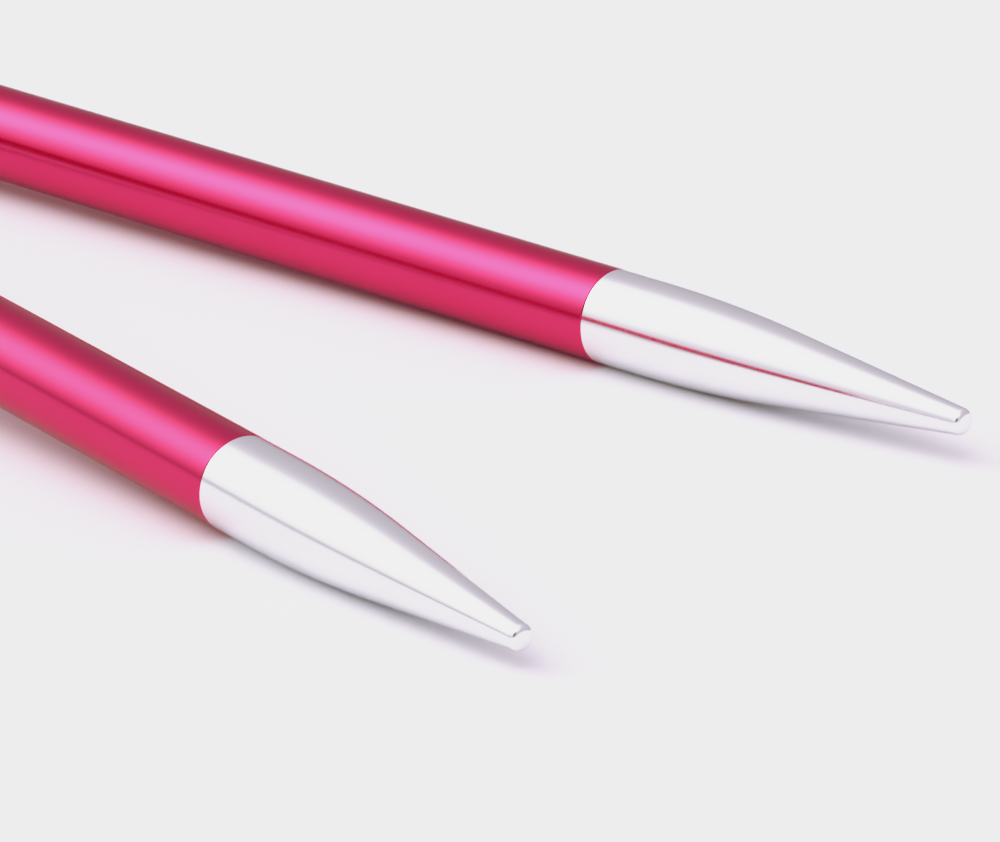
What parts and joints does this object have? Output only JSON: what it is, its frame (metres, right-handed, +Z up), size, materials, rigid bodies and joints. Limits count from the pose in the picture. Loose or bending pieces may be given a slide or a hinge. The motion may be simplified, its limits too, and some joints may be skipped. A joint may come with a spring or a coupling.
{
  "type": "pair of straight knitting needles",
  "caption": "Pair of straight aluminium knitting needles lying crossed: pink anodised shafts, polished tapered points, bell-shaped end knobs.",
  "frame": {"origin": "middle of the pair's box, on the surface that the needles lie on", "axes": "+X along the pair towards the points, halfway between the two needles; +Y to the left needle's point; +Z up"},
  "size_m": [0.257, 0.038, 0.0182],
  "materials": {
    "anodised_pink": "bright anodised, deep pink, mirror-like with a soft bloom",
    "polished_aluminium": "mirror polished, bare metal",
    "core_nylon": "moulded, natural grey",
    "spun_aluminium": "satin, with fine turning lines round it",
    "anodised_pink_ring": "bright anodised, deep pink",
    "anodised_pink_disc": "satin anodised, deep pink, with the size in bare metal"
  },
  "bodies": {
    "left_needle": {"left_shaft_tube": "anodised_pink", "left_point": "polished_aluminium", "left_knob_core": "core_nylon", "left_knob_shell": "spun_aluminium", "left_knob_collar": "anodised_pink_ring", "left_size_disc": "anodised_pink_disc"},
    "right_needle": {"right_shaft_tube": "anodised_pink", "right_point": "polished_aluminium", "right_knob_core": "core_nylon", "right_knob_shell": "spun_aluminium", "right_knob_collar": "anodised_pink_ring", "right_size_disc": "anodised_pink_disc"}
  },
  "joints": [
    {"name": "right_needle_lift", "type": "slide", "parent": "left_needle", "child": "right_needle", "axis": [0, 0, 1], "range_m": [0, 0.1]}
  ]
}
